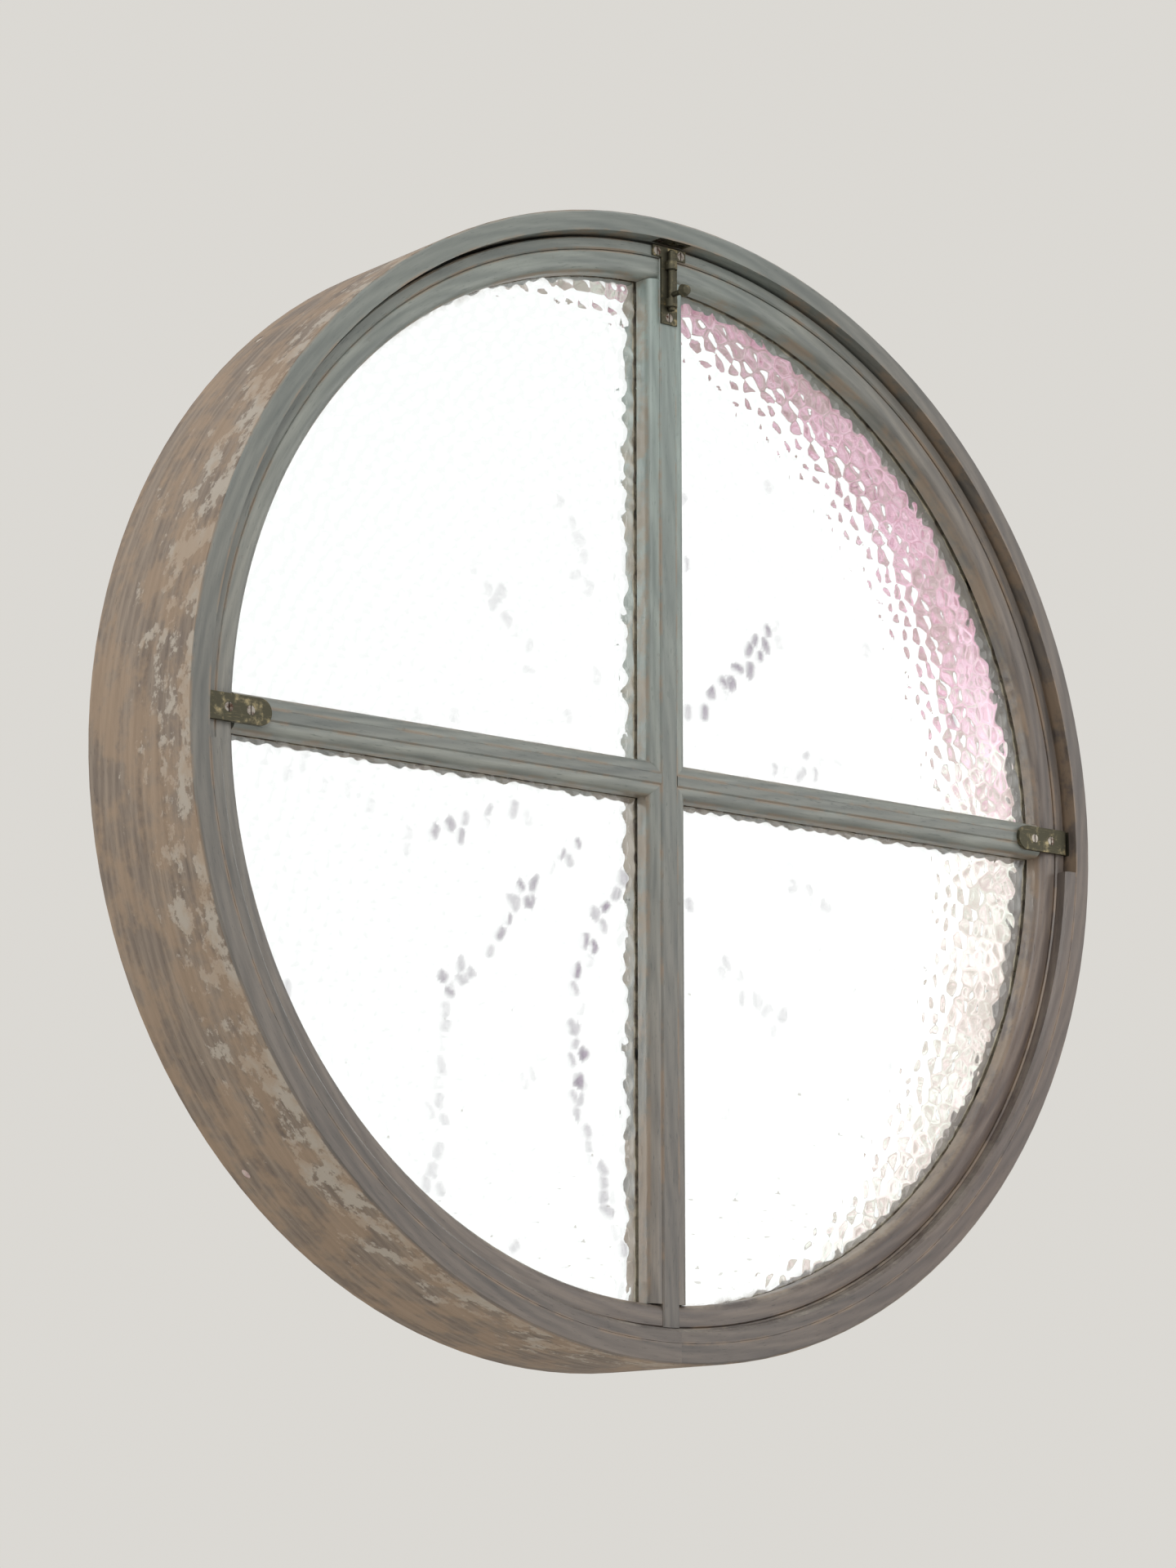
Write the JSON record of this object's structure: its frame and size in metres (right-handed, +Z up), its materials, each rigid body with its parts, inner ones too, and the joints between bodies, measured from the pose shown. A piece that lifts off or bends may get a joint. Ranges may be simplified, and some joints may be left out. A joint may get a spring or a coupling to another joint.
{
  "type": "round window",
  "caption": "Round timber window: a centre-pivot sash with a cross of glazing bars and pebbled panes, in a bent timber frame that is built into a wall.",
  "frame": {"origin": "middle of the window, on the axis of its two pivots", "axes": "+X to the right as seen from the room, +Y outwards through the wall, +Z up"},
  "size_m": [0.668, 0.11, 0.668],
  "materials": {
    "frame_timber": "dark varnish",
    "sash_timber": "dark varnish",
    "bead_timber": "dark varnish",
    "pebbled_glass": "pebbled on the room side",
    "putty": "hardened",
    "screw_steel": "dulled",
    "aged_brass": "aged"
  },
  "bodies": {
    "frame": {"bolt_keeper": "aged_brass", "frame_hoop": "frame_timber", "keeper_screws": "screw_steel", "lower_stop": "frame_timber", "pivot_socket_left": "aged_brass", "pivot_socket_right": "aged_brass", "socket_screws": "screw_steel", "upper_stop": "frame_timber"},
    "sash": {"bedding_putty": "putty", "bolt_plate": "aged_brass", "bolt_screws": "screw_steel", "curved_bead_lower_left": "bead_timber", "curved_bead_lower_right": "bead_timber", "curved_bead_upper_left": "bead_timber", "curved_bead_upper_right": "bead_timber", "friction_washer_left": "aged_brass", "friction_washer_right": "aged_brass", "horizontal_bar": "sash_timber", "level_bead_lower_left": "bead_timber", "level_bead_lower_right": "bead_timber", "level_bead_upper_left": "bead_timber", "level_bead_upper_right": "bead_timber", "pane_lower_left": "pebbled_glass", "pane_lower_right": "pebbled_glass", "pane_upper_left": "pebbled_glass", "pane_upper_right": "pebbled_glass", "pivot_strap_left": "aged_brass", "pivot_strap_right": "aged_brass", "sash_hoop": "sash_timber", "strap_screws": "screw_steel", "upright_bead_lower_left": "bead_timber", "upright_bead_lower_right": "bead_timber", "upright_bead_upper_left": "bead_timber", "upright_bead_upper_right": "bead_timber", "vertical_bar": "sash_timber"},
    "bolt": {"bolt_rod": "aged_brass"}
  },
  "joints": [
    {"name": "sash_pivot", "type": "hinge", "parent": "frame", "child": "sash", "pos_m": [0, 0, 0], "axis": [1, 0, 0], "range_deg": [0, 80]},
    {"name": "bolt_slide", "type": "slide", "parent": "sash", "child": "bolt", "axis": [0, 0, 1], "range_m": [0, 0.012]}
  ]
}
